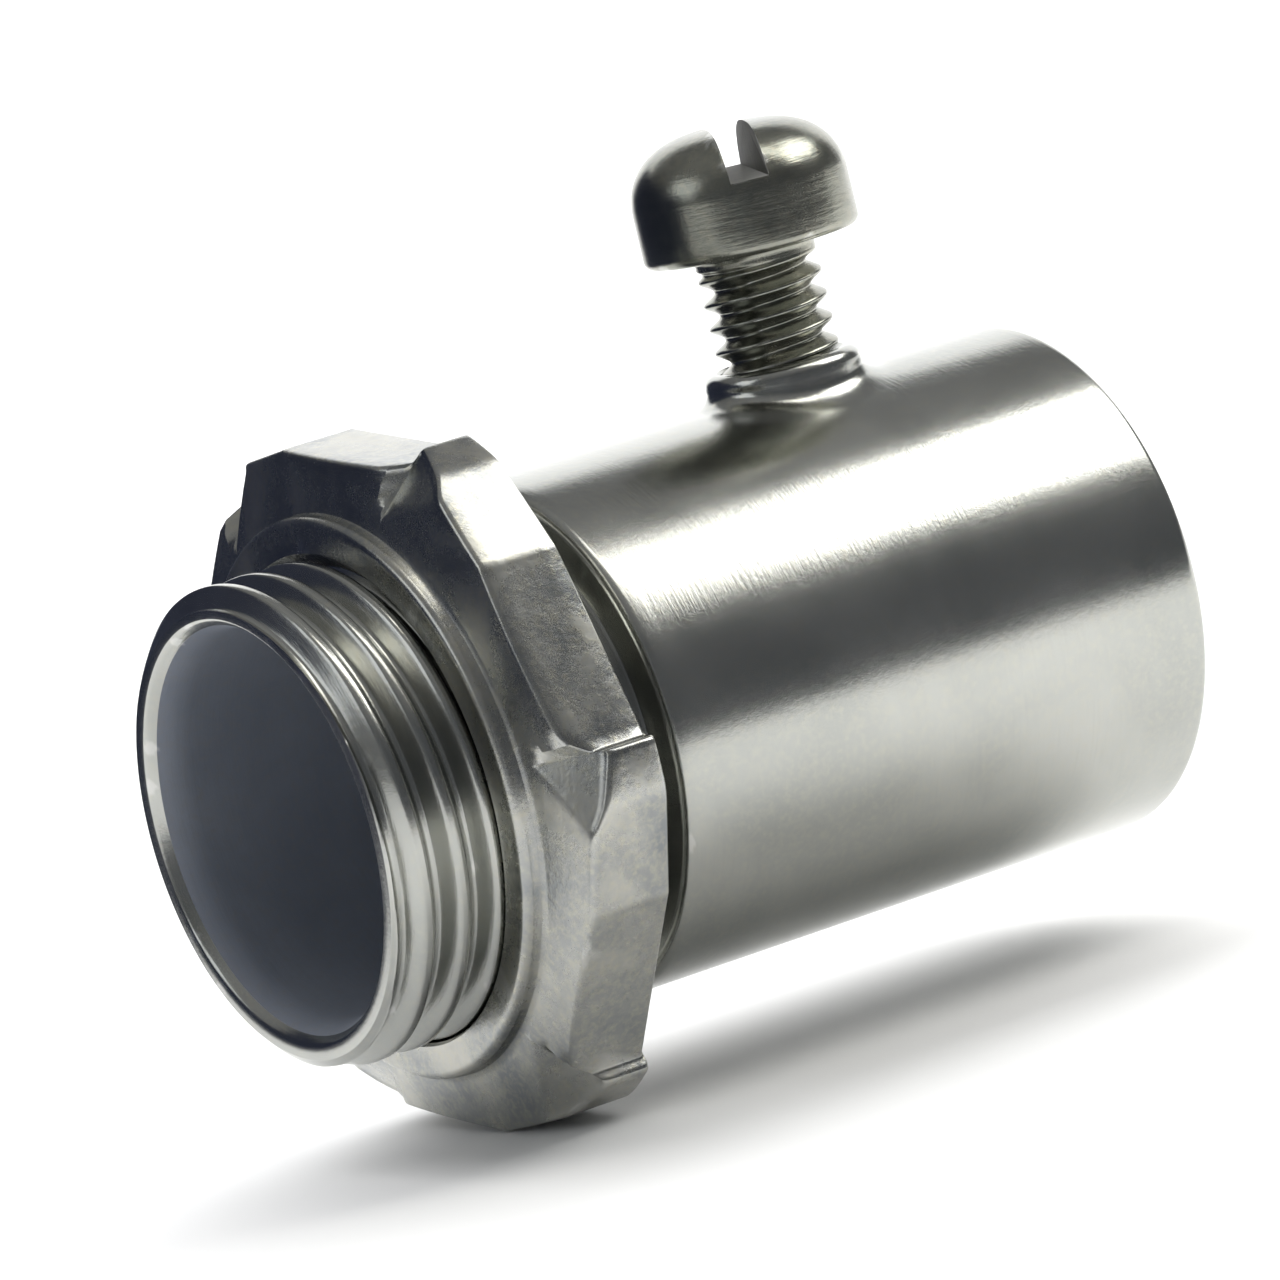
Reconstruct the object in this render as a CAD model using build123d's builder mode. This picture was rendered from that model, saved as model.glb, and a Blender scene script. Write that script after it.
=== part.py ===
"""Half-inch set-screw connector for thin-wall conduit (EMT): body, locknut and set screw.

The tube axis is X. The shoulder that seats on the box wall is the plane X = 0, the threaded
nipple points to -X, the conduit socket opens to +X, and the set screw stands on +Z.
"""
import math
import os

from build123d import *

os.makedirs("parts", exist_ok=True)

# Body
sleeve_radius = 11.5
sleeve_length = 27.6
sleeve_edge = 0.4          # rounding of the shoulder's and the mouth's outer edge
socket_radius = 9.3        # takes 17.93 mm thin-wall conduit
socket_mouth_chamfer = 0.7
conduit_stop = 1.6         # the socket ends this far behind the shoulder plane
throat_radius = 8.6
throat_lip = 0.75          # how far the rounded mouth that protects the wires opens out
throat_mouth_length = 1.9
nipple_length = 13.9
nipple_edge = 0.3
neck_length = 2.4          # plain undercut between the thread and the shoulder
neck_radius = 9.6

# Pipe thread of the nipple and the locknut, 1/2-14
pipe_pitch = 25.4 / 14
pipe_crest_radius = 10.67
pipe_root_radius = 9.75
pipe_crest_width = 0.42
pipe_radial_gap = 0.1
pipe_flank_gap = 0.08
pipe_runout = 0.9 * pipe_pitch   # how far the nipple's groove runs on into the neck

# Locknut, dished so that the tips of its lugs reach towards the box wall
nut_front = -8.8           # front of the hub at rest
nut_hub_radius = 12.4
nut_hub_length = 3.5
nut_hub_step = 0.8         # height of the hub above the dished face
nut_hub_draft = 0.15       # the hub's side widens by this much towards the face
nut_lug_radius = 16.1
nut_face_drop = 0.95       # how far the face falls back from the hub to the lug tips
nut_rim_thickness = 3.6
nut_back_radius = 14.05    # inner edge of the lugs' flat backs
nut_back_slope = 0.1
lug_count = 6
lug_floor_radius = 14.65   # flats between the lugs
lug_wall_angle = 25.0      # driving wall of the first lug, from +Z towards -Y
lug_gap_angle = 36.0
flat_start_angle = 16.2    # from a flat's centre to where the slope behind it begins
lug_slope_angle = 38.0     # from a flat's centre to where that slope has passed the lug's tip
lug_slope_over = 0.5       # how far past the tip it is by then
lug_bevel_length = 4.6     # bevel along the front edge of each lug, starting at its driving wall
lug_bevel_depth = 1.5
lug_bevel_runout = 0.9     # at its end the bevel has left the lug's front by this much
lug_bevel_radius = 13.45   # the bevel's inner end
lug_bevel_lead = 0.5       # the bevel's cutter starts this far ahead of the driving wall
lug_bevel_taper = 8.0
hub_ring_width = 0.75
hub_ring_length = 0.7
hub_edge = 0.3

# Set screw, 12-24, and the collar drawn out of the sleeve that holds it
screw_x = 16.5
screw_pitch = 25.4 / 24
screw_crest_radius = 2.72
screw_root_radius = 2.1
screw_crest_width = 0.16
screw_radial_gap = 0.06
screw_flank_gap = 0.05
screw_tip = 9.4            # height of the screw's end at rest, just clear of the socket
screw_point_radius = 1.95
screw_point_length = 0.9
screw_point_chamfer = 0.4
screw_underhead = 17.9
screw_groove_start = 8.48  # sets the phase of the screw thread
screw_plain_shank = 0.6    # unthreaded length under the head
head_radius = 4.8
head_side_height = 3.0
head_height = 5.5
head_crown = 0.35
head_top_radius = 2.6
head_shoulder_radius = 4.15   # middle of the rounding between the head's side and its crown
head_shoulder_drop = 1.0
head_bottom_edge = 0.3
slot_width = 1.7
slot_depth = 2.2
slot_angle = 65.0          # direction of the slot, from +X towards +Y
collar_top = 12.85
collar_radius = 3.5
collar_foot_radius = 4.9
collar_foot_height = 10.9
collar_root_height = 9.9      # inside the sleeve's wall
collar_fillet_radius = 3.88   # middle of the fillet between the collar and the sleeve
collar_fillet_height = 11.45
collar_edge = 0.6

joint_gap = 0.02           # between a screw or nut and the slice of it that carries its travel
clear = 1.0                # how far cutters reach past the faces they open

nose = -nipple_length
screw_axis = Axis((screw_x, 0, 0), (0, 0, 1))
flank = math.tan(math.radians(30))


def thread_groove(centre, direction, pitch, length, deep, mouth):
    """A helical groove cutter. deep and mouth are (radius, width) pairs of its V section."""
    floor_radius, floor_width = deep
    mouth_radius, mouth_width = mouth
    depth = mouth_radius - floor_radius
    with BuildPart() as cutter:
        with BuildLine() as path:
            Helix(pitch, length, floor_radius, center=centre, direction=direction)
        start = path.line @ 0
        outward = start - Vector(*centre)
        with BuildSketch(Plane(origin=start, x_dir=outward, z_dir=path.line % 0)):
            Polygon(
                (0, -floor_width / 2), (depth, -mouth_width / 2),
                (depth, mouth_width / 2), (0, floor_width / 2), align=None,
            )
        sweep(path=path.line, is_frenet=True)
    return cutter.part


def outside_groove(centre, direction, pitch, length, crest_radius, root_radius, crest_width):
    """The groove of an outside thread, reaching a little past its crests."""
    over = 0.05
    mouth_width = pitch - crest_width
    floor_width = mouth_width - 2 * flank * (crest_radius - root_radius)
    return thread_groove(
        centre, direction, pitch, length,
        (root_radius, floor_width), (crest_radius + over, mouth_width + 2 * flank * over),
    )


def inside_groove(centre, direction, pitch, length, crest_radius, bore_radius, crest_width,
                  radial_gap, flank_gap):
    """The groove of the matching inside thread: the outside thread's ridge with room around it."""
    over = 0.05
    floor_radius = crest_radius + radial_gap
    inner_radius = bore_radius - over
    floor_width = crest_width - 2 * flank * radial_gap + 2 * flank_gap
    inner_width = floor_width + 2 * flank * (floor_radius - inner_radius)
    return thread_groove(
        centre, direction, pitch, length, (floor_radius, floor_width), (inner_radius, inner_width),
    )


# The pipe thread runs out of the front face at one end and into the neck at the other.
pipe_start = (nose - pipe_pitch, 0, 0)
pipe_length = nipple_length + pipe_pitch - neck_length + pipe_runout
nipple_groove = outside_groove(
    pipe_start, (1, 0, 0), pipe_pitch, pipe_length,
    pipe_crest_radius, pipe_root_radius, pipe_crest_width,
)

# The screw's groove starts below its thread and stops short of the head. The tapped groove of the
# collar runs half a pitch apart from it and passes right through the wall.
screw_thread_bottom = screw_tip + screw_point_length
screw_groove = outside_groove(
    (screw_x, 0, screw_groove_start), (0, 0, 1), screw_pitch,
    screw_underhead - screw_plain_shank - screw_groove_start,
    screw_crest_radius, screw_root_radius, screw_crest_width,
)
collar_bore = screw_root_radius + screw_radial_gap
collar_groove = inside_groove(
    (screw_x, 0, screw_groove_start - screw_pitch / 2), (0, 0, 1), screw_pitch,
    collar_top + screw_pitch - screw_groove_start,
    screw_crest_radius, collar_bore, screw_crest_width, screw_radial_gap, screw_flank_gap,
)

with BuildPart() as connector_body:
    with BuildSketch(Plane.XZ):
        with BuildLine():
            Polyline(
                (nose, throat_radius + throat_lip),
                (nose, pipe_crest_radius - nipple_edge),
                (nose + nipple_edge, pipe_crest_radius),
                (-neck_length, pipe_crest_radius),
                (-neck_length, neck_radius),
                (0, neck_radius),
                (0, sleeve_radius - sleeve_edge),
            )
            RadiusArc((0, sleeve_radius - sleeve_edge), (sleeve_edge, sleeve_radius), sleeve_edge)
            Line((sleeve_edge, sleeve_radius), (sleeve_length - sleeve_edge, sleeve_radius))
            RadiusArc(
                (sleeve_length - sleeve_edge, sleeve_radius),
                (sleeve_length, sleeve_radius - sleeve_edge), sleeve_edge,
            )
            Polyline(
                (sleeve_length, sleeve_radius - sleeve_edge),
                (sleeve_length, socket_radius + socket_mouth_chamfer),
                (sleeve_length - socket_mouth_chamfer, socket_radius),
                (conduit_stop, socket_radius),
                (conduit_stop, throat_radius),
                (nose + throat_mouth_length, throat_radius),
            )
            RadiusArc(
                (nose + throat_mouth_length, throat_radius), (nose, throat_radius + throat_lip),
                (throat_mouth_length**2 + throat_lip**2) / (2 * throat_lip),
            )
        make_face()
    revolve(axis=Axis.X)
    # The collar around the set screw flares out of the sleeve's wall.
    with BuildSketch(Plane.XZ):
        with BuildLine():
            Polyline(
                (screw_x, collar_root_height),
                (screw_x, collar_top),
                (screw_x + collar_radius - collar_edge, collar_top),
            )
            RadiusArc(
                (screw_x + collar_radius - collar_edge, collar_top),
                (screw_x + collar_radius, collar_top - collar_edge), collar_edge,
            )
            ThreePointArc(
                (screw_x + collar_radius, collar_top - collar_edge),
                (screw_x + collar_fillet_radius, collar_fillet_height),
                (screw_x + collar_foot_radius, collar_foot_height),
            )
            Polyline(
                (screw_x + collar_foot_radius, collar_foot_height),
                (screw_x + collar_foot_radius, collar_root_height),
                (screw_x, collar_root_height),
            )
        make_face()
    revolve(axis=screw_axis)
    # Clear the socket again and drill and tap the collar.
    with BuildSketch(Plane.YZ.offset(conduit_stop)):
        Circle(socket_radius)
    extrude(amount=sleeve_length - conduit_stop, mode=Mode.SUBTRACT)
    with BuildSketch(Plane.YZ.offset(screw_x)):
        Polygon(
            (0, 0), (collar_bore, 0), (collar_bore, collar_top + clear), (0, collar_top + clear),
            align=None,
        )
    revolve(axis=screw_axis, mode=Mode.SUBTRACT)
    add(nipple_groove, mode=Mode.SUBTRACT)
    add(collar_groove, mode=Mode.SUBTRACT)
connector_body.part.label = "connector_body"
export_step(connector_body.part, "parts/connector_body.step")

nut_bore = pipe_root_radius + pipe_radial_gap
nut_face = nut_front + nut_hub_step
nut_hub_back = nut_front + nut_hub_length
nut_tip_front = nut_face + nut_face_drop
nut_back = nut_tip_front + nut_rim_thickness
ring_inner_radius = nut_hub_radius - hub_ring_width
ring_back = nut_front + hub_ring_length

# The nut's groove lies half a pitch from the nipple's and passes right through the hub.
nut_groove = inside_groove(
    (pipe_start[0] + 2.5 * pipe_pitch, 0, 0), (1, 0, 0), pipe_pitch, nut_hub_length + 3 * pipe_pitch,
    pipe_crest_radius, nut_bore, pipe_crest_width, pipe_radial_gap, pipe_flank_gap,
)
with BuildPart() as locknut:
    with BuildSketch(Plane.XZ):
        Polygon(
            (nut_front, nut_bore),
            (nut_front, ring_inner_radius - joint_gap),
            (ring_back + joint_gap, ring_inner_radius - joint_gap),
            (ring_back + joint_gap, nut_hub_radius),
            (nut_face, nut_hub_radius + nut_hub_draft),
            (nut_tip_front, nut_lug_radius),
            (nut_back, nut_lug_radius),
            (nut_back - nut_back_slope, nut_back_radius),
            (nut_hub_back, nut_hub_radius),
            (nut_hub_back, nut_bore),
            align=None,
        )
    revolve(axis=Axis.X)
    add(nut_groove, mode=Mode.SUBTRACT)
    # Flats between the lugs. Each ends in the steep driving wall of the next lug, and the lug before
    # it slopes down to it.
    gap_centre = 90 + lug_wall_angle - lug_gap_angle / 2
    half_gap = math.radians(lug_gap_angle / 2)
    over_radius = nut_lug_radius + clear
    slope_angle = math.radians(lug_slope_angle)
    slope_end = Vector(math.cos(slope_angle), -math.sin(slope_angle)) * (nut_lug_radius + lug_slope_over)
    flat_start = lug_floor_radius * math.tan(math.radians(flat_start_angle))
    with BuildSketch(Plane.YZ.offset(nut_front - clear)):
        with PolarLocations(0, lug_count, start_angle=gap_centre):
            Polygon(
                (lug_floor_radius, -flat_start),
                (slope_end.X, slope_end.Y),
                (over_radius, slope_end.Y),
                (over_radius, over_radius * math.tan(half_gap)),
                (lug_floor_radius, lug_floor_radius * math.tan(half_gap)),
                align=None,
            )
    extrude(amount=nut_back - nut_front + 2 * clear, mode=Mode.SUBTRACT)
    for k in range(lug_count):
        turn = math.radians(90 + lug_wall_angle + k * 360 / lug_count)
        outward = Vector(0, math.cos(turn), math.sin(turn))
        along = Vector(0, -math.sin(turn), math.cos(turn))
        corner = outward * lug_bevel_radius + Vector(nut_tip_front, 0, 0)
        with BuildSketch(Plane(origin=corner - along * lug_bevel_lead, x_dir=(1, 0, 0), z_dir=outward)):
            Polygon(
                (-2 * clear, -lug_bevel_lead), (lug_bevel_depth, -lug_bevel_lead),
                (-lug_bevel_runout, lug_bevel_length), (-2 * clear, lug_bevel_length),
                align=None,
            )
        extrude(amount=4 * clear, taper=-lug_bevel_taper, mode=Mode.SUBTRACT)
locknut.part.label = "locknut"
export_step(locknut.part, "parts/locknut.step")

# The outer band of the hub. It carries the locknut's travel; the nut turns inside that travel.
with BuildPart() as locknut_hub_ring:
    with BuildSketch(Plane.XZ):
        Polygon(
            (nut_front, ring_inner_radius), (nut_front, nut_hub_radius - hub_edge),
            (nut_front + hub_edge, nut_hub_radius), (ring_back, nut_hub_radius),
            (ring_back, ring_inner_radius), align=None,
        )
    revolve(axis=Axis.X)
locknut_hub_ring.part.label = "locknut_hub_ring"
export_step(locknut_hub_ring.part, "parts/locknut_hub_ring.step")

head_top = screw_underhead + head_height
shank_bottom = screw_thread_bottom + joint_gap
with BuildPart() as set_screw:
    with BuildSketch(Plane.XZ):
        Polygon(
            (screw_x, shank_bottom), (screw_x + screw_crest_radius, shank_bottom),
            (screw_x + screw_crest_radius, screw_underhead), (screw_x, screw_underhead),
            align=None,
        )
    revolve(axis=screw_axis)
    add(screw_groove, mode=Mode.SUBTRACT)
    with BuildSketch(Plane.XZ):
        with BuildLine():
            Polyline(
                (screw_x, head_top),
                (screw_x, screw_underhead),
                (screw_x + head_radius - head_bottom_edge, screw_underhead),
                (screw_x + head_radius, screw_underhead + head_bottom_edge),
                (screw_x + head_radius, screw_underhead + head_side_height),
            )
            ThreePointArc(
                (screw_x + head_radius, screw_underhead + head_side_height),
                (screw_x + head_shoulder_radius, head_top - head_shoulder_drop),
                (screw_x + head_top_radius, head_top - head_crown / 2),
            )
            Line((screw_x + head_top_radius, head_top - head_crown / 2), (screw_x, head_top))
        make_face()
    revolve(axis=screw_axis)
    with BuildSketch(Plane.XY.offset(head_top + clear)):
        with Locations((screw_x, 0)):
            Rectangle(2.5 * head_radius, slot_width, rotation=slot_angle)
    extrude(amount=-(slot_depth + clear), mode=Mode.SUBTRACT)
set_screw.part.label = "set_screw"
export_step(set_screw.part, "parts/set_screw.step")

# The plain point of the screw. It carries the screw's travel; the threaded part turns above it.
with BuildPart() as set_screw_point:
    with BuildSketch(Plane.XZ):
        Polygon(
            (screw_x, screw_tip), (screw_x + screw_point_radius - screw_point_chamfer, screw_tip),
            (screw_x + screw_point_radius, screw_tip + screw_point_chamfer),
            (screw_x + screw_point_radius, screw_thread_bottom), (screw_x, screw_thread_bottom),
            align=None,
        )
    revolve(axis=screw_axis)
set_screw_point.part.label = "set_screw_point"
export_step(set_screw_point.part, "parts/set_screw_point.step")
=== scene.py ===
"""Looks for a half-inch set-screw conduit connector: body, locknut and set screw in zinc-plated steel.

Lengths in the mesh code are millimetres in the CAD frame and become metres in build_mesh().
The tube axis is X, the shoulder is the plane X = 0 and the set screw stands on +Z.
"""
import math

import bmesh
import bpy
import numpy as np
from mathutils import Matrix, Vector


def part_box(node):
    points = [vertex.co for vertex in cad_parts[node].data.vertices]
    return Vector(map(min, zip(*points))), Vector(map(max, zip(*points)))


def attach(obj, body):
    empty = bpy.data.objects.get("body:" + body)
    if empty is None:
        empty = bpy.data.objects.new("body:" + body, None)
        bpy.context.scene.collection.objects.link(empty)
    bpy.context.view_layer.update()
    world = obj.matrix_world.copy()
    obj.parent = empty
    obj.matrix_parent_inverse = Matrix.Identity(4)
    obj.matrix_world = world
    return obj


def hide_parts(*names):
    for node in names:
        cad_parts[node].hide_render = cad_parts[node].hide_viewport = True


MM = 0.001
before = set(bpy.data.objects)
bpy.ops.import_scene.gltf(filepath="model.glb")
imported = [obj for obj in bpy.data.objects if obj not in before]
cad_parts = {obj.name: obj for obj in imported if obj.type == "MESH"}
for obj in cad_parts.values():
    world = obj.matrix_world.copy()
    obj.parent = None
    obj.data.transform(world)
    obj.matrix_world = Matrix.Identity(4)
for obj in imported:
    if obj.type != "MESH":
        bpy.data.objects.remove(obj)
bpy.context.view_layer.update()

body_low, body_high = (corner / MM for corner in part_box("connector_body"))
nut_low, nut_high = (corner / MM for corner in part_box("locknut"))
screw_low, screw_high = (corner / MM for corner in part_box("set_screw"))
point_low, point_high = (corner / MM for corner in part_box("set_screw_point"))

# Body
NOSE = body_low.x
MOUTH = body_high.x
SLEEVE_R = body_high.y
SOCKET_R = 9.3
THROAT_R = 8.6
STOP_X = 1.6             # the step that stops the conduit
NECK_LENGTH = 2.4        # plain undercut behind the nipple's thread
NECK_R = 9.6
EDGE = 0.45              # rounding of the shoulder and of the mouth's outer edge
MOUTH_CHAMFER = 0.7
THROAT_LIP = 0.75
THROAT_MOUTH = 1.9
UNSHADED_LIP = 0.4         # length of the throat's mouth that keeps the outside's material; deeper in, the bore is painted darker as shade
UNSHADED_MOUTH = 1.0       # the same length at the socket's mouth

# Pipe thread
PIPE_PITCH = 25.4 / 14
PIPE_CREST = 10.67
PIPE_ROOT = 9.75
PIPE_CREST_WIDTH = 0.42
PIPE_RADIAL_GAP = 0.1
PIPE_FLANK_GAP = 0.08
PIPE_LEAD_IN = 0.72      # the first turn starts this far below the crests

# Locknut
NUT_FRONT = nut_low.x
NUT_BACK = nut_high.x
NUT_HUB_R = 12.4
NUT_HUB_LENGTH = 3.5
NUT_FACE = NUT_FRONT + 0.8
NUT_DROP = 0.95          # how far the dished face falls back from the hub to the lug tips
NUT_HUB_EDGE = 0.38
NUT_RIM_EDGE = 0.3
NUT_BACK_EDGE = 0.25
NUT_BORE = PIPE_ROOT + PIPE_RADIAL_GAP
LUG_R = nut_high.y - 0.012    # a hair inside the CAD's lugs
LUGS = 6
FLAT_R = 14.65           # distance of the flats between the lugs from the axis
WALL_ANGLE = 25.0        # driving wall of the first lug, from +Z towards -Y
GAP_ANGLE = 36.0
SLOPE_ANGLE = 38.0       # from a flat's centre to where the slope behind it has passed the lug's tip
SLOPE_OVER = 0.5
FLAT_SHARE = 0.9         # the slope begins at this share of the gap's half angle
BEVEL_DEPTH = 1.5
BEVEL_LENGTH = 4.2
BEVEL_WIDTH = 2.9

# Set screw and its collar
SCREW_X = (screw_low.x + screw_high.x) / 2
SCREW_PITCH = 25.4 / 24
SCREW_CREST = 2.72
SCREW_ROOT = 2.1
SCREW_CREST_WIDTH = 0.16
SCREW_RADIAL_GAP = 0.06
SCREW_FLANK_GAP = 0.05
SCREW_PHASE = 8.48       # height of the screw's groove at angle 0
SCREW_TIP = point_low.z
SCREW_TOP = screw_high.z
UNDERHEAD = 17.9
HEAD_R = (screw_high.x - screw_low.x) / 2
HEAD_SIDE = 3.0
POINT_LENGTH = 0.9
POINT_CHAMFER = 0.42
RUNOUT_START = 0.84      # the groove fades out from here below the head
RUNOUT_LENGTH = 0.3
SLOT_WIDTH = 1.7
SLOT_DEPTH = 2.2
SLOT_ANGLE = 65.0        # from +X towards +Y
SLOT_LIP = 0.16
COLLAR_TOP = body_high.z
COLLAR_R = 3.5
COLLAR_FOOT_R = 4.7
COLLAR_FILLET = 0.75
COLLAR_EDGE = 0.6

TAN30 = math.tan(math.radians(30))


# Mesh code

def build_mesh(name, verts, faces, smooth_angle=32.0):
    """A closed mesh object from points in millimetres, shaded smooth up to smooth_angle."""
    mesh = bpy.data.meshes.new(name)
    mesh.from_pydata([tuple(p) for p in np.asarray(verts) * MM], [], faces)
    bm = bmesh.new()
    bm.from_mesh(mesh)
    bmesh.ops.recalc_face_normals(bm, faces=bm.faces)
    bm.to_mesh(mesh)
    bm.free()
    mesh.shade_smooth()
    mesh.set_sharp_from_angle(angle=math.radians(smooth_angle))
    obj = bpy.data.objects.new(name, mesh)
    bpy.context.scene.collection.objects.link(obj)
    return obj


def outside_thread(along, pitch, crest, root, crest_width):
    """Radius of an outside thread. along is the distance from a groove's centre."""
    u = np.abs((along / pitch + 0.5) % 1.0 - 0.5) * pitch
    depth = crest - root
    half_floor = (pitch - crest_width) / 2 - TAN30 * depth
    return root + rounded((u - half_floor) / TAN30, depth)


def inside_thread(along, pitch, floor_r, bore_r, floor_width):
    """Radius of an inside thread. along is the distance from a groove's centre."""
    u = np.abs((along / pitch + 0.5) % 1.0 - 0.5) * pitch
    depth = floor_r - bore_r
    return floor_r - rounded((u - floor_width / 2) / TAN30, depth)


def rounded(h, depth, radius=0.1):
    """h held between 0 and depth, with the two corners eased."""
    h = 0.5 * (h + np.sqrt(h * h + radius * radius))
    k = depth - h
    return depth - 0.5 * (k + np.sqrt(k * k + radius * radius))


def arc(cx, cy, radius, start, end, steps):
    """Points of an arc, with angles in degrees."""
    return [
        (cx + radius * math.cos(math.radians(a)), cy + radius * math.sin(math.radians(a)))
        for a in np.linspace(start, end, steps)
    ]


def around_x(x, r, theta):
    """A point at radius r about the tube axis. theta runs from +Z towards -Y."""
    return np.stack([x, -r * np.sin(theta), r * np.cos(theta)], axis=-1)


def ring_faces(rows, columns, close_rows=True, skip=()):
    """Quads of a grid whose columns close on themselves."""
    faces = []
    for i in range(rows if close_rows else rows - 1):
        for j in range(columns):
            if (i, j) in skip:
                continue
            k, m = (i + 1) % rows, (j + 1) % columns
            faces.append((i * columns + j, k * columns + j, k * columns + m, i * columns + m))
    return faces


# Connector body

BODY_COLUMNS = 256
PATCH_HALF_COLUMNS = 24
PATCH_CELLS = 32
PATCH_HALF_LENGTH = 6.4


def pipe_radius(x, theta):
    """The nipple's thread, with its first turn and its run into the neck eased."""
    along = x - (NOSE - PIPE_PITCH + PIPE_PITCH * theta / (2 * math.pi))
    r = outside_thread(along, PIPE_PITCH, PIPE_CREST, PIPE_ROOT, PIPE_CREST_WIDTH)
    front = PIPE_CREST - PIPE_LEAD_IN + (x - NOSE) * 1.1
    back = NECK_R + 0.15 + (-NECK_LENGTH - x) * 1.4
    return np.minimum(r, np.minimum(front, np.maximum(back, NECK_R)))


def build_body():
    theta = np.arange(BODY_COLUMNS) * 2 * math.pi / BODY_COLUMNS
    patch_x = np.linspace(SCREW_X - PATCH_HALF_LENGTH, SCREW_X + PATCH_HALF_LENGTH, PATCH_CELLS + 1)
    lip_r = THROAT_R + THROAT_LIP
    stations = [(NOSE + 0.03, lip_r - 0.03), (NOSE, lip_r + 0.05), (NOSE, PIPE_ROOT - 0.04)]
    thread_x = np.arange(NOSE, -NECK_LENGTH + 0.01, 0.065)
    rows = [np.full(BODY_COLUMNS, r) for x, r in stations]
    xs = [x for x, r in stations]
    for x in thread_x:
        xs.append(x)
        rows.append(pipe_radius(np.full(BODY_COLUMNS, x), theta))
    outer = [(-NECK_LENGTH + 0.12, NECK_R), (-0.25, NECK_R), (-0.06, NECK_R + 0.06)]
    outer += [(0.0, NECK_R + 0.25)]
    outer += [(0.0, 10.4), (0.0, SLEEVE_R - EDGE - 0.02)]
    outer += arc(EDGE, SLEEVE_R - EDGE, EDGE, 180, 90, 7)
    outer += [(x, SLEEVE_R) for x in np.linspace(1.0, patch_x[0] - 0.6, 12)]
    outer_start = len(xs) + len(outer)
    outer += [(x, SLEEVE_R) for x in patch_x]
    outer += [(x, SLEEVE_R) for x in np.linspace(patch_x[-1] + 0.6, MOUTH - EDGE - 0.3, 6)]
    outer += arc(MOUTH - EDGE, SLEEVE_R - EDGE, EDGE, 90, 0, 7)
    outer += [(MOUTH, SOCKET_R + MOUTH_CHAMFER + 0.12), (MOUTH - 0.04, SOCKET_R + MOUTH_CHAMFER)]
    outer += [(MOUTH - MOUTH_CHAMFER, SOCKET_R + 0.06), (MOUTH - MOUTH_CHAMFER - 0.15, SOCKET_R)]
    outer += [(x, SOCKET_R) for x in np.linspace(MOUTH - 1.4, patch_x[-1] + 0.6, 4)]
    inner_start = len(xs) + len(outer)
    outer += [(x, SOCKET_R) for x in patch_x[::-1]]
    outer += [(x, SOCKET_R) for x in np.linspace(patch_x[0] - 0.6, STOP_X + 0.2, 5)]
    outer += [(STOP_X + 0.05, SOCKET_R - 0.04), (STOP_X, SOCKET_R - 0.15), (STOP_X, THROAT_R + 0.12)]
    outer += [(STOP_X - 0.1, THROAT_R)]
    outer += [(x, THROAT_R) for x in np.linspace(STOP_X - 0.8, NOSE + THROAT_MOUTH + 0.4, 12)]
    mouth_arc = (THROAT_MOUTH**2 + THROAT_LIP**2) / (2 * THROAT_LIP)
    mouth_turn = math.degrees(math.asin(THROAT_MOUTH / mouth_arc))
    outer += arc(NOSE + THROAT_MOUTH, THROAT_R + mouth_arc, mouth_arc, 270, 270 - mouth_turn, 12)[:-1]
    for x, r in outer:
        xs.append(x)
        rows.append(np.full(BODY_COLUMNS, r))
    rows = np.array(rows)
    xs = np.array(xs)
    points = around_x(np.repeat(xs[:, None], BODY_COLUMNS, 1), rows, theta[None, :])

    # The cells where the collar stands are left out on both walls, and rings join the two openings.
    columns = range(-PATCH_HALF_COLUMNS, PATCH_HALF_COLUMNS)
    skip = {
        (start + i, j % BODY_COLUMNS)
        for start in (outer_start, inner_start) for i in range(PATCH_CELLS) for j in columns
    }
    faces = ring_faces(len(xs), BODY_COLUMNS, True, skip)

    def frame_loop(row_of):
        n, h = PATCH_CELLS, PATCH_HALF_COLUMNS
        loop = [(i, -h) for i in range(n)] + [(n, j) for j in range(-h, h)]
        loop += [(n - i, h) for i in range(n)] + [(0, -j) for j in range(-h, h)]
        return [row_of(i) * BODY_COLUMNS + j % BODY_COLUMNS for i, j in loop]

    outer_loop = frame_loop(lambda i: outer_start + i)
    inner_loop = frame_loop(lambda i: inner_start + PATCH_CELLS - i)
    flat = points.reshape(-1, 3)
    plan_out = flat[outer_loop][:, :2] - np.array([SCREW_X, 0.0])
    plan_in = flat[inner_loop][:, :2] - np.array([SCREW_X, 0.0])
    phi = np.arctan2(plan_out[:, 1], plan_out[:, 0])
    unit = np.stack([np.cos(phi), np.sin(phi)], axis=-1)

    def on_wall(plan, radius):
        return np.column_stack([plan[:, 0] + SCREW_X, plan[:, 1], np.sqrt(radius**2 - plan[:, 1] ** 2)])

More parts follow.
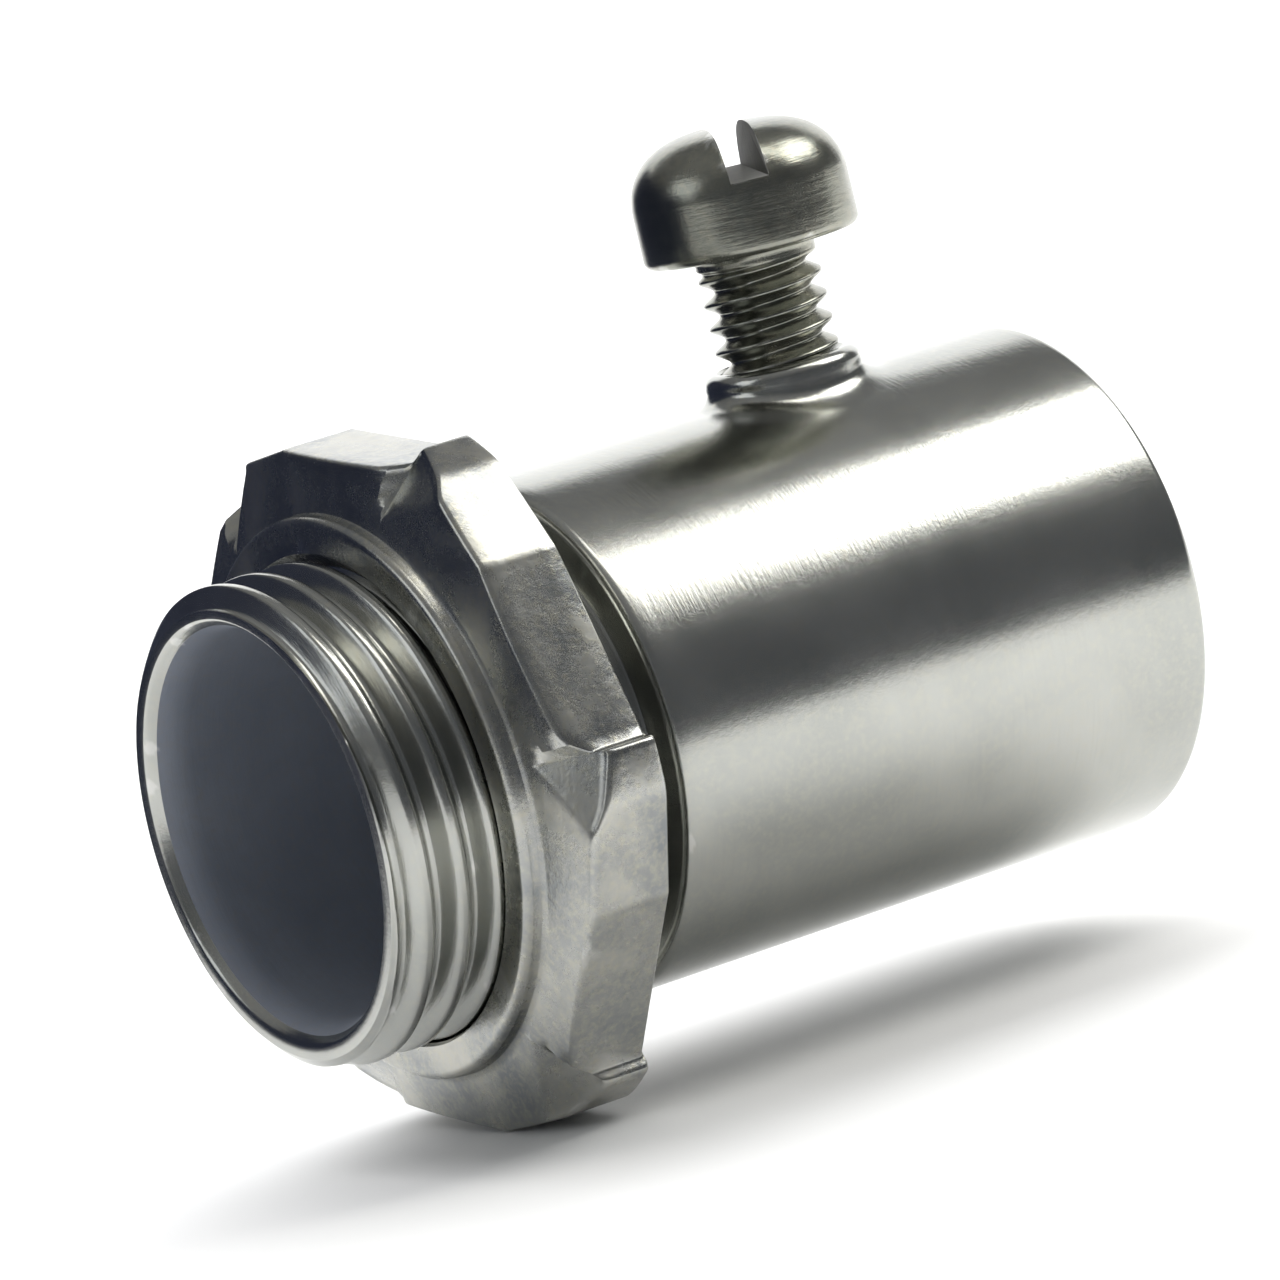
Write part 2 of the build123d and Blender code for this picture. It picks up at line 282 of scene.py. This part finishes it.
    rings = []
    for t in (0.2, 0.4, 0.6, 0.8):
        rings.append(on_wall((1 - t) * plan_out + t * COLLAR_FOOT_R * unit, SLEEVE_R))
    for s in np.linspace(0, 1, 9):
        a = s * math.pi / 2
        rho = COLLAR_FOOT_R - (COLLAR_FOOT_R - COLLAR_R) * math.sin(a)
        ring = on_wall(rho * unit, SLEEVE_R)
        ring[:, 2] += COLLAR_FILLET * (1 - math.cos(a))
        rings.append(ring)
    shoulder = COLLAR_TOP - COLLAR_EDGE
    foot = rings[-1].copy()
    rings.append(np.column_stack([foot[:, 0], foot[:, 1], (foot[:, 2] + shoulder + 0.02) / 2]))
    for rho, z in arc(COLLAR_R - COLLAR_EDGE, shoulder, COLLAR_EDGE, 2, 90, 8):
        level = np.full(len(phi), z)
        rings.append(np.column_stack([SCREW_X + rho * unit[:, 0], rho * unit[:, 1], level]))
    bore = SCREW_ROOT + SCREW_RADIAL_GAP
    floor_r = SCREW_CREST + SCREW_RADIAL_GAP
    floor_width = SCREW_CREST_WIDTH - 2 * TAN30 * SCREW_RADIAL_GAP + 2 * SCREW_FLANK_GAP
    bottom = np.sqrt(SOCKET_R**2 - (bore * unit[:, 1]) ** 2)
    for t in np.linspace(0, 1, 86):
        z = COLLAR_TOP + (bottom - COLLAR_TOP) * t
        along = z - (SCREW_PHASE - SCREW_PITCH / 2 + SCREW_PITCH * phi / (2 * math.pi))
        rho = inside_thread(along, SCREW_PITCH, floor_r, bore, floor_width)
        rho = np.maximum(rho, floor_r + 0.07 - np.minimum(COLLAR_TOP - z, z - bottom))
        ring = np.column_stack([SCREW_X + rho * unit[:, 0], rho * unit[:, 1], z])
        if t == 1:
            ring[:, 2] = np.sqrt(SOCKET_R**2 - ring[:, 1] ** 2)
        rings.append(ring)
    for t in (0.15, 0.35, 0.55, 0.75):
        rings.append(on_wall((1 - t) * floor_r * 1.06 * unit + t * plan_in, SOCKET_R))
    base = len(flat)
    count = len(phi)
    all_points = np.vstack([flat] + rings)
    loops = [np.array(outer_loop)]
    loops += [base + k * count + np.arange(count) for k in range(len(rings))]
    loops += [np.array(inner_loop)]
    for first, second in zip(loops, loops[1:]):
        for j in range(count):
            m = (j + 1) % count
            faces.append((int(first[j]), int(first[m]), int(second[m]), int(second[j])))

    # Points inside the two openings belong to no face.
    used = np.zeros(len(all_points), bool)
    used[np.array([v for f in faces for v in f])] = True
    index = np.cumsum(used) - 1
    faces = [tuple(int(index[v]) for v in f) for f in faces]
    return build_mesh("connector_body_plated", all_points[used], faces)


# Locknut

def nut_outline():
    """Angle in degrees from a flat's centre, and radius, through one sixth of the nut."""
    half = GAP_ANGLE / 2
    wall_foot = FLAT_R / math.cos(math.radians(half))
    slope_foot = FLAT_SHARE * half
    foot = FLAT_R * np.array([1, -math.tan(math.radians(slope_foot))])
    turn = math.radians(SLOPE_ANGLE)
    far = (LUG_R + SLOPE_OVER) * np.array([math.cos(turn), -math.sin(turn)])
    normal = np.array([far[1] - foot[1], foot[0] - far[0]])

    def lug(d):
        """Radius behind a driving wall: the lug's arc, then the slope down to the next flat."""
        a = math.radians(d - 60)
        slope = (normal @ foot) / (normal @ np.array([math.cos(a), math.sin(a)]))
        k = LUG_R - slope
        return LUG_R - 0.5 * (k + math.sqrt(k * k + 0.09**2))

    flat = np.linspace(0.8 - slope_foot, half - 0.5, 20)
    outline = [(d, FLAT_R / math.cos(math.radians(d))) for d in flat]
    fillet = [(-0.22, 0.02), (-0.1, 0.07), (-0.04, 0.18), (0.0, 0.32)]
    corner = [(0.03, 0.28), (0.12, 0.15), (0.35, 0.06)]
    outline += [(half + turned, wall_foot + rise) for turned, rise in fillet]
    outline += [(half + turned, LUG_R - drop) for turned, drop in corner]
    outline += [(half + 0.75, lug(half + 0.75))]
    outline += [(d, lug(d)) for d in np.linspace(half + 1.5, 60 - slope_foot - 0.7, 24)]
    outline += [(60 - slope_foot, lug(60 - slope_foot) + 0.01)]
    return outline


def build_nut():
    outline = nut_outline()
    gap_centre = WALL_ANGLE - GAP_ANGLE / 2
    offset = np.array([d for k in range(LUGS) for d, r in outline])
    theta = np.radians(np.array([gap_centre + 60 * k + d for k in range(LUGS) for d, r in outline]))
    rim = np.array([r for k in range(LUGS) for d, r in outline])
    count = len(theta)
    hub_back = NUT_FRONT + NUT_HUB_LENGTH
    floor_r = PIPE_CREST + PIPE_RADIAL_GAP
    floor_width = PIPE_CREST_WIDTH - 2 * TAN30 * PIPE_RADIAL_GAP + 2 * PIPE_FLANK_GAP
    lead_in = floor_r + 0.1

    def bevel(r):
        """How far the front corner of each lug is cut back beside its driving wall."""
        along = np.radians(offset - GAP_ANGLE / 2) * r
        reach = np.where(along >= 0, along / BEVEL_LENGTH, -along / 1.2)
        return BEVEL_DEPTH * np.clip(1 - reach - (LUG_R - r) / BEVEL_WIDTH, 0, None)

    def face_x(r):
        return NUT_FACE + NUT_DROP * (r - NUT_HUB_R) / (LUG_R - NUT_HUB_R) + bevel(r)

    full = np.ones(count)
    rows = []
    for r in (lead_in, 11.2, 11.8):
        rows.append((NUT_FRONT * full, r * full))
    for x, r in arc(0, 0, NUT_HUB_EDGE, 90, 0, 6):
        rows.append(((NUT_FRONT + NUT_HUB_EDGE - r) * full, (NUT_HUB_R - NUT_HUB_EDGE + x) * full))
    rows.append(((NUT_FACE - 0.16) * full, NUT_HUB_R * full))
    rows.append(((NUT_FACE - 0.04) * full, (NUT_HUB_R + 0.05) * full))
    inner = NUT_HUB_R + 0.22
    face_end = rim - NUT_RIM_EDGE
    for t in np.linspace(0, 1, 18):
        r = inner + (face_end - inner) * t
        rows.append((face_x(r), r))
    front = face_x(face_end)
    for a in np.radians([20, 42, 65, 90]):
        rows.append((front + NUT_RIM_EDGE * (1 - math.cos(a)), face_end + NUT_RIM_EDGE * math.sin(a)))
    rim_front = front + NUT_RIM_EDGE
    rim_back = NUT_BACK * full - NUT_BACK_EDGE
    for t in (0.2, 0.5, 0.8):
        rows.append((rim_front + (rim_back - rim_front) * t, rim))
    for a in np.radians([0, 30, 60, 90]):
        rows.append((rim_back + NUT_BACK_EDGE * math.sin(a), rim - NUT_BACK_EDGE * (1 - math.cos(a))))
    dish = FLAT_R - 0.6
    rows.append((NUT_BACK * full - 0.01, (rim + dish) / 2 - 0.1))
    rows.append((NUT_BACK * full - 0.06, dish * full + 0.12))
    rows.append((NUT_BACK * full - 0.2, dish * full - 0.08))
    for t in (0.35, 0.7, 0.95):
        rows.append((NUT_BACK + (hub_back - NUT_BACK) * t * full, dish + (NUT_HUB_R - dish) * t * full))
    rows.append((hub_back * full, (NUT_HUB_R - 0.15) * full))
    rows.append((hub_back * full, (lead_in + 0.7) * full))
    rows.append((hub_back * full, lead_in * full))
    start = NOSE - PIPE_PITCH / 2
    for x in np.linspace(hub_back, NUT_FRONT, 58)[1:-1]:
        along = x - (start + PIPE_PITCH * theta / (2 * math.pi))
        r = inside_thread(along, PIPE_PITCH, floor_r, NUT_BORE, floor_width)
        ease = np.minimum(x - NUT_FRONT, hub_back - x)
        rows.append((x * full, np.maximum(r, lead_in - ease)))
    x = np.array([row[0] for row in rows])
    r = np.array([row[1] for row in rows])
    points = around_x(x, r, theta[None, :]).reshape(-1, 3)
    return build_mesh("locknut_plated", points, ring_faces(len(rows), count), 28.0)


# Set screw

SCREW_COLUMNS = 128


def screw_points(rho, z, phi):
    return np.stack([SCREW_X + rho * np.cos(phi), rho * np.sin(phi), z], axis=-1)


def build_screw():
    phi = np.arange(SCREW_COLUMNS) * 2 * math.pi / SCREW_COLUMNS
    full = np.ones(SCREW_COLUMNS)
    point_r = (point_high.x - point_low.x) / 2
    point = [(0.7, 0.0), (POINT_CHAMFER, 0.0), (0.36, 0.02), (0.05, 0.33), (0.0, POINT_CHAMFER)]
    rows = [((point_r - inset) * full, (SCREW_TIP + rise) * full) for inset, rise in point]
    thread_bottom = SCREW_TIP + POINT_LENGTH
    for z in np.arange(thread_bottom - 0.06, UNDERHEAD - 0.3, 0.045):
        along = z - (SCREW_PHASE + SCREW_PITCH * phi / (2 * math.pi))
        r = outside_thread(along, SCREW_PITCH, SCREW_CREST, SCREW_ROOT, SCREW_CREST_WIDTH)
        runout = np.clip((z - (UNDERHEAD - RUNOUT_START)) / RUNOUT_LENGTH, 0, 1)
        r = r * (1 - runout) + (SCREW_CREST - 0.05) * runout
        r = np.minimum(r, point_r + (z - thread_bottom + 0.06) * 1.1)
        rows.append((r, z * full))
    profile = [(SCREW_CREST - 0.03, UNDERHEAD - 0.2), (SCREW_CREST + 0.05, UNDERHEAD - 0.05)]
    profile += [(SCREW_CREST + 0.25, UNDERHEAD), (3.8, UNDERHEAD + 0.02)]
    profile += arc(HEAD_R - 0.4, UNDERHEAD + 0.42, 0.4, 270, 360, 6)
    profile += [(HEAD_R, UNDERHEAD + z) for z in (1.2, 2.1)]
    side_top = UNDERHEAD + HEAD_SIDE - 0.35
    reach = SCREW_TOP - side_top
    for a in np.radians(np.linspace(0, 90, 22)):
        profile.append((
            HEAD_R * (math.cos(a) ** 0.62 if a < 1.55 else 0.0) if a > 0 else HEAD_R,
            side_top + reach * math.sin(a) ** 1.12,
        ))
    profile = [(r, z) for r, z in profile if r > 0.2]
    rows += [(r * full, z * full) for r, z in profile]
    points = np.array([screw_points(r, z, phi) for r, z in rows]).reshape(-1, 3)
    faces = ring_faces(len(rows), SCREW_COLUMNS, False)
    last = (len(rows) - 1) * SCREW_COLUMNS
    points = np.vstack([points, [[SCREW_X, 0, SCREW_TIP], [SCREW_X, 0, SCREW_TOP]]])
    for j in range(SCREW_COLUMNS):
        m = (j + 1) % SCREW_COLUMNS
        faces.append((len(points) - 2, m, j))
        faces.append((last + j, last + m, len(points) - 1))
    screw = build_mesh("set_screw_plated", points, faces)
    cut_slot(screw)
    return screw


def cut_slot(screw):
    """The driver slot, with its lips rounded over."""
    turn = math.radians(SLOT_ANGLE)
    along = np.array([math.cos(turn), math.sin(turn)])
    across = np.array([-math.sin(turn), math.cos(turn)])
    floor = SCREW_TOP - SLOT_DEPTH
    corners = []
    for z in (floor, SCREW_TOP + 1):
        for a, b in ((-1, -1), (1, -1), (1, 1), (-1, 1)):
            plan = a * 1.3 * HEAD_R * along + b * SLOT_WIDTH / 2 * across
            corners.append((SCREW_X + plan[0], plan[1], z))
    sides = [(0, 3, 2, 1), (4, 5, 6, 7), (0, 1, 5, 4), (1, 2, 6, 5), (2, 3, 7, 6), (3, 0, 4, 7)]
    cutter = build_mesh("slot_cutter", corners, sides)
    cut = screw.modifiers.new("slot", "BOOLEAN")
    cut.operation = "DIFFERENCE"
    cut.solver = "EXACT"
    cut.object = cutter
    graph = bpy.context.evaluated_depsgraph_get()
    mesh = bpy.data.meshes.new_from_object(screw.evaluated_get(graph))
    screw.modifiers.clear()
    screw.data = mesh
    bpy.data.objects.remove(cutter)
    bm = bmesh.new()
    bm.from_mesh(mesh)
    bmesh.ops.remove_doubles(bm, verts=bm.verts, dist=0.004 * MM)

    def on_wall(v):
        side = (v.co.x / MM - SCREW_X) * across[0] + v.co.y / MM * across[1]
        return abs(abs(side) - SLOT_WIDTH / 2) < 0.003 and v.co.z / MM > floor - 0.003

    lips = [
        e for e in bm.edges
        if on_wall(e.verts[0]) and on_wall(e.verts[1]) and len(e.link_faces) == 2
        and e.calc_face_angle(0) > math.radians(35)
        and max(v.co.z for v in e.verts) / MM > floor + 0.003
    ]
    bmesh.ops.bevel(
        bm, geom=lips, offset=SLOT_LIP * MM, segments=3, profile=0.5, affect="EDGES", clamp_overlap=True,
    )
    bmesh.ops.triangulate(bm, faces=[f for f in bm.faces if len(f.verts) > 4])
    bmesh.ops.recalc_face_normals(bm, faces=bm.faces)
    bm.to_mesh(mesh)
    bm.free()
    mesh.shade_smooth()
    mesh.set_sharp_from_angle(angle=math.radians(32))


# Materials

class Nodes:
    """Short calls to build a node tree."""

    def __init__(self, tree):
        self.tree = tree

    def add(self, kind, **settings):
        node = self.tree.nodes.new(kind)
        for key, value in settings.items():
            setattr(node, key, value)
        return node

    def link(self, source, target):
        self.tree.links.new(source, target)

    def value(self, socket, source):
        if isinstance(source, bpy.types.NodeSocket):
            self.link(source, socket)
        else:
            socket.default_value = source

    def math(self, operation, *values, clamp=False):
        node = self.add("ShaderNodeMath", operation=operation, use_clamp=clamp)
        for socket, value in zip(node.inputs, values):
            self.value(socket, value)
        return node.outputs[0]

    def scaled(self, vector, scale):
        node = self.add("ShaderNodeVectorMath", operation="MULTIPLY")
        self.link(vector, node.inputs[0])
        node.inputs[1].default_value = scale
        return node.outputs[0]

    def noise(self, vector, scale, detail=3.0, roughness=0.5, distortion=0.0):
        node = self.add("ShaderNodeTexNoise")
        self.link(vector, node.inputs["Vector"])
        node.inputs["Scale"].default_value = scale
        node.inputs["Detail"].default_value = detail
        node.inputs["Roughness"].default_value = roughness
        node.inputs["Distortion"].default_value = distortion
        return node.outputs[0]

    def ramp(self, factor, stops):
        node = self.add("ShaderNodeValToRGB")
        self.link(factor, node.inputs[0])
        elements = node.color_ramp.elements
        while len(elements) < len(stops):
            elements.new(0.5)
        for element, (position, colour) in zip(elements, stops):
            element.position = position
            element.color = (*colour, 1) if len(colour) == 3 else colour
        return node.outputs[0]

    def mix(self, factor, first, second, blend="MIX"):
        node = self.add("ShaderNodeMix", data_type="RGBA", blend_type=blend)
        self.value(node.inputs[0], factor)
        for socket, source in ((node.inputs[6], first), (node.inputs[7], second)):
            if isinstance(source, bpy.types.NodeSocket):
                self.link(source, socket)
            else:
                socket.default_value = (*source, 1)
        return node.outputs[2]

    def bump(self, height, strength, distance, normal=None):
        node = self.add("ShaderNodeBump")
        node.inputs["Strength"].default_value = strength
        node.inputs["Distance"].default_value = distance
        self.link(height, node.inputs["Height"])
        if normal is not None:
            self.link(normal, node.inputs["Normal"])
        return node.outputs[0]


EDGE_WEAR = (0.35, 0.35, 0.35)
RUBBED = (0.78, 0.78, 0.76)
# Colour that concave places are darkened towards.
HOLLOW_DARK = (0.045, 0.05, 0.06)


def plated_steel(name, light, dark, warm, roughness, grain, cloud, grain_stretch, metallic=1.0):
    """Zinc-plated steel: cloudy plating, tool marks, handling dents, rubbed edges, darker hollows.

    light, dark and warm are the plating's colours, grain is the depth of the tool marks, which
    grain_stretch draws out, and cloud is how fine the clouds are, per millimetre.
    """
    material = bpy.data.materials.new(name)
    material.use_nodes = True
    tree = material.node_tree
    tree.nodes.clear()
    n = Nodes(tree)
    output = n.add("ShaderNodeOutputMaterial")
    shader = n.add("ShaderNodeBsdfPrincipled")
    n.link(shader.outputs[0], output.inputs[0])
    shader.inputs["Metallic"].default_value = metallic
    coordinates = n.add("ShaderNodeTexCoord").outputs["Object"]
    mm = n.scaled(coordinates, (1000, 1000, 1000))
    clouds = n.noise(mm, cloud, 4.0, 0.55, 0.4)
    speckle = n.noise(mm, 3.2, 3.0, 0.6)
    streaks = n.noise(n.scaled(mm, grain_stretch), 1.0, 4.0, 0.6)
    fine = n.noise(mm, 14.0, 2.0, 0.6)
    colour = n.mix(n.ramp(clouds, [(0.32, (0, 0, 0)), (0.68, (1, 1, 1))]), dark, light)
    colour = n.mix(n.ramp(speckle, [(0.45, (0, 0, 0)), (0.75, (0.55, 0.55, 0.55))]), colour, warm)
    colour = n.mix(n.ramp(streaks, [(0.5, (0, 0, 0)), (0.8, (0.3, 0.3, 0.3))]), colour, dark)
    pointed = n.add("ShaderNodeNewGeometry").outputs["Pointiness"]
    edges = n.ramp(pointed, [(0.52, (0, 0, 0)), (0.6, EDGE_WEAR)])
    # Concave places with low pointiness, such as thread roots, are darkened.
    hollows = n.ramp(pointed, [(0.4, (0.45, 0.45, 0.45)), (0.485, (0, 0, 0))])
    colour = n.mix(edges, colour, RUBBED)
    colour = n.mix(hollows, colour, HOLLOW_DARK)
    n.link(colour, shader.inputs["Base Color"])
    rough = n.math("MULTIPLY_ADD", clouds, 0.16, roughness - 0.08)
    rough = n.math("ADD", rough, n.math("MULTIPLY", fine, 0.05))
    rough = n.math("ADD", rough, n.math("MULTIPLY", streaks, 0.05), clamp=True)
    n.link(rough, shader.inputs["Roughness"])
    normal = n.bump(streaks, grain, 0.00006)
    normal = n.bump(speckle, 0.35 * grain + 0.05, 0.00005, normal)
    normal = n.bump(fine, 0.2, 0.00001, normal)
    n.link(normal, shader.inputs["Normal"])
    return material


def give(obj, material, body, slot, *nodes):
    obj.data.materials.clear()
    obj.data.materials.append(material)
    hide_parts(*nodes)
    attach(obj, body)


body_steel = plated_steel(
    "body_plating", (0.47, 0.475, 0.45), (0.37, 0.38, 0.36), (0.48, 0.465, 0.4),
    0.16, 0.12, 0.12, (9.0, 0.35, 0.35),
)
# A darker, duller copy of the plating for the bore and throat: painted shade inside the tube, on the
# same steel as the outside.
bore_shade_material = plated_steel(
    "bore_painted_shade", (0.2, 0.22, 0.26), (0.165, 0.185, 0.225), (0.2, 0.2, 0.21),
    0.55, 0.2, 0.2, (5.0, 0.4, 0.4), metallic=0.3,
)
nut_steel = plated_steel(
    "nut_plating", (0.5, 0.495, 0.455), (0.27, 0.285, 0.295), (0.54, 0.515, 0.4),
    0.22, 0.25, 0.3, (1.2, 1.2, 1.2),
)
screw_steel = plated_steel(
    "screw_plating", (0.33, 0.33, 0.285), (0.19, 0.2, 0.175), (0.35, 0.33, 0.26),
    0.2, 0.2, 0.3, (0.6, 0.6, 7.0),
)

# Near-black material for the driver slot's walls and floor: painted shade in the slot.
slot_shade_material = plated_steel(
    "slot_painted_shade", (0.07, 0.072, 0.06), (0.035, 0.036, 0.032), (0.09, 0.08, 0.06),
    0.6, 0.3, 0.5, (1.5, 1.5, 1.5), metallic=0.4,
)

body = build_body()
nut = build_nut()
screw = build_screw()
give(body, body_steel, "fitting", "body_steel", "connector_body")
# Faces inside the bore and throat, short of the two mouths, take the darker material: painted shade.
body.data.materials.append(bore_shade_material)
for face in body.data.polygons:
    centre = face.center / MM
    inside = math.hypot(centre.y, centre.z) < SOCKET_R + 0.02
    if inside and NOSE + UNSHADED_LIP < centre.x < MOUTH - UNSHADED_MOUTH:
        face.material_index = 1
give(nut, nut_steel, "locknut", "locknut_steel", "locknut", "locknut_hub_ring")
give(screw, screw_steel, "set_screw", "screw_steel", "set_screw", "set_screw_point")
# The slot's faces take the near-black material: painted shade.
screw.data.materials.append(slot_shade_material)
slot_turn = math.radians(SLOT_ANGLE)
slot_across = Vector((-math.sin(slot_turn), math.cos(slot_turn), 0))
for face in screw.data.polygons:
    offset = abs((face.center / MM - Vector((SCREW_X, 0, 0))).dot(slot_across))
    above_floor = face.center.z / MM > SCREW_TOP - SLOT_DEPTH - 0.1
    if above_floor and offset < SLOT_WIDTH / 2 + 0.02:
        face.material_index = 1


# Camera

# It stands in front of the nipple, on the -Y side and a little above, and is rolled slightly.
CAMERA_AT = Vector((-207.0, -362.7, 56.5)) * MM
CAMERA_FORWARD = Vector((0.50290, 0.85507, -0.12626)).normalized()
CAMERA_UP = Vector((0.26404, -0.01289, 0.96443))
LENS = 276.5

right = CAMERA_FORWARD.cross(CAMERA_UP).normalized()
up = right.cross(CAMERA_FORWARD).normalized()
camera_data = bpy.data.cameras.new("camera")
camera_data.lens = LENS
camera_data.sensor_width = 36
camera_data.clip_start = 0.01
camera_data.clip_end = 50
camera = bpy.data.objects.new("camera", camera_data)
bpy.context.scene.collection.objects.link(camera)
camera.matrix_world = Matrix((
    (right.x, up.x, -CAMERA_FORWARD.x, CAMERA_AT.x),
    (right.y, up.y, -CAMERA_FORWARD.y, CAMERA_AT.y),
    (right.z, up.z, -CAMERA_FORWARD.z, CAMERA_AT.z),
    (0, 0, 0, 1),
))
bpy.context.scene.camera = camera


# Floor and lights

FLOOR_Z = nut_low.z - 0.05
FLOOR_HALF = 6.0         # metres

floor_mesh = bpy.data.meshes.new("floor")
floor_corners = [
    (a * FLOOR_HALF, b * FLOOR_HALF, FLOOR_Z * MM) for a, b in ((-1, -1), (1, -1), (1, 1), (-1, 1))
]
floor_mesh.from_pydata(floor_corners, [], [(0, 1, 2, 3)])
floor = bpy.data.objects.new("floor", floor_mesh)
bpy.context.scene.collection.objects.link(floor)
floor_material = bpy.data.materials.new("floor_paper")
floor_material.use_nodes = True
floor_shader = floor_material.node_tree.nodes["Principled BSDF"]
floor_shader.inputs["Base Color"].default_value = (0.88, 0.88, 0.88, 1)
floor_shader.inputs["Roughness"].default_value = 0.9
floor_shader.inputs["Specular IOR Level"].default_value = 0.1
floor_mesh.materials.append(floor_material)


def softbox(name, centre, target, size, strength, tint=(1, 1, 1), turn=0.0):
    """A rectangular area light in millimetres that the camera doesn't see."""
    data = bpy.data.lights.new(name, "AREA")
    data.shape = "RECTANGLE"
    data.size, data.size_y = size[0] * MM, size[1] * MM
    data.energy = strength * data.size * data.size_y * math.pi
    data.color = tint
    light = bpy.data.objects.new(name, data)
    bpy.context.scene.collection.objects.link(light)
    centre, target = Vector(centre) * MM, Vector(target) * MM
    aim = (target - centre).to_track_quat("-Z", "Y").to_matrix().to_4x4()
    roll = Matrix.Rotation(math.radians(turn), 4, "Z")
    light.matrix_world = Matrix.Translation(centre) @ aim @ roll
    light.visible_camera = False
    return light


def card(name, centre, size, facing, radiance):
    """An upright studio card in millimetres. It shows only in reflections."""
    across = Vector((-facing[1], facing[0], 0)).normalized() * size[0] / 2
    lift = Vector((0, 0, size[1] / 2))
    centre = Vector(centre)
    corners = [centre + a * across + b * lift for a, b in ((-1, -1), (1, -1), (1, 1), (-1, 1))]
    mesh = bpy.data.meshes.new(name)
    mesh.from_pydata([c * MM for c in corners], [], [(0, 1, 2, 3)])
    obj = bpy.data.objects.new(name, mesh)
    bpy.context.scene.collection.objects.link(obj)
    material = bpy.data.materials.new(name)
    material.use_nodes = True
    tree = material.node_tree
    tree.nodes.clear()
    n = Nodes(tree)
    glow = n.add("ShaderNodeEmission")
    glow.inputs[0].default_value = (*radiance, 1)
    n.link(glow.outputs[0], n.add("ShaderNodeOutputMaterial").inputs[0])
    mesh.materials.append(material)
    for ray in ("camera", "diffuse", "shadow", "transmission", "volume_scatter"):
        setattr(obj, "visible_" + ray, False)
    return obj


# The overhead box makes the long highlight of the sleeve, and the strip those of the locknut's lugs.
softbox("overhead", (205, -62, 165), (205, -40, 0), (170, 134), 5.2, (1.0, 0.995, 0.965), 17)
softbox("lug_strip", (60, -52, 140), (-4, -12, 8), (34, 130), 4.0, (1.0, 0.98, 0.92), 0)
softbox("back_wall", (500, 900, 330), (0, 0, 60), (1700, 780), 1.5)
softbox("left_card", (-420, 60, 260), (-5, 0, 0), (260, 260), 1.3, (0.94, 0.97, 1.0))
softbox("front_fill", (-330, -330, 90), (-14, 0, 0), (160, 160), 1.8, (0.9, 0.94, 1.0))
# These light the floor and show in no reflection.
for name, centre, size, strength in (
    ("floor_back", (900, 1500, 1100), (3400, 2600), 2.5),
    ("floor_near", (300, 500, 700), (900, 500), 2.2),
):
    lamp = softbox(name, centre, (centre[0], centre[1], 0), size, strength)
    lamp.visible_glossy = False
# Dark cards: the sleeve's dark band, and the locknut's dark face.
card("front_flag", (70, -100, FLOOR_Z + 42), (520, 84), (0, 1), (0.115, 0.12, 0.13))
card("left_flag", (-50, 60, FLOOR_Z + 42), (170, 84), (0.503, -0.855), (0.03, 0.036, 0.062))

world = bpy.data.worlds.new("studio")
bpy.context.scene.world = world
world.use_nodes = True
world.node_tree.nodes.clear()
w = Nodes(world.node_tree)
world_output = w.add("ShaderNodeOutputWorld")
background = w.add("ShaderNodeBackground")
w.link(background.outputs[0], world_output.inputs[0])
direction = w.add("ShaderNodeTexCoord").outputs["Generated"]
height = w.add("ShaderNodeSeparateXYZ")
w.link(direction, height.inputs[0])
sky = w.ramp(w.math("MULTIPLY_ADD", height.outputs[2], 0.5, 0.5), [
    (0.0, (0.8, 0.8, 0.8)), (0.5, (0.16, 0.165, 0.17)),
    (0.72, (0.12, 0.125, 0.13)), (1.0, (0.35, 0.35, 0.35)),
])
w.link(sky, background.inputs[0])
background.inputs[1].default_value = 1.0

scene = bpy.context.scene
scene.view_settings.view_transform = "Standard"
scene.view_settings.look = "None"
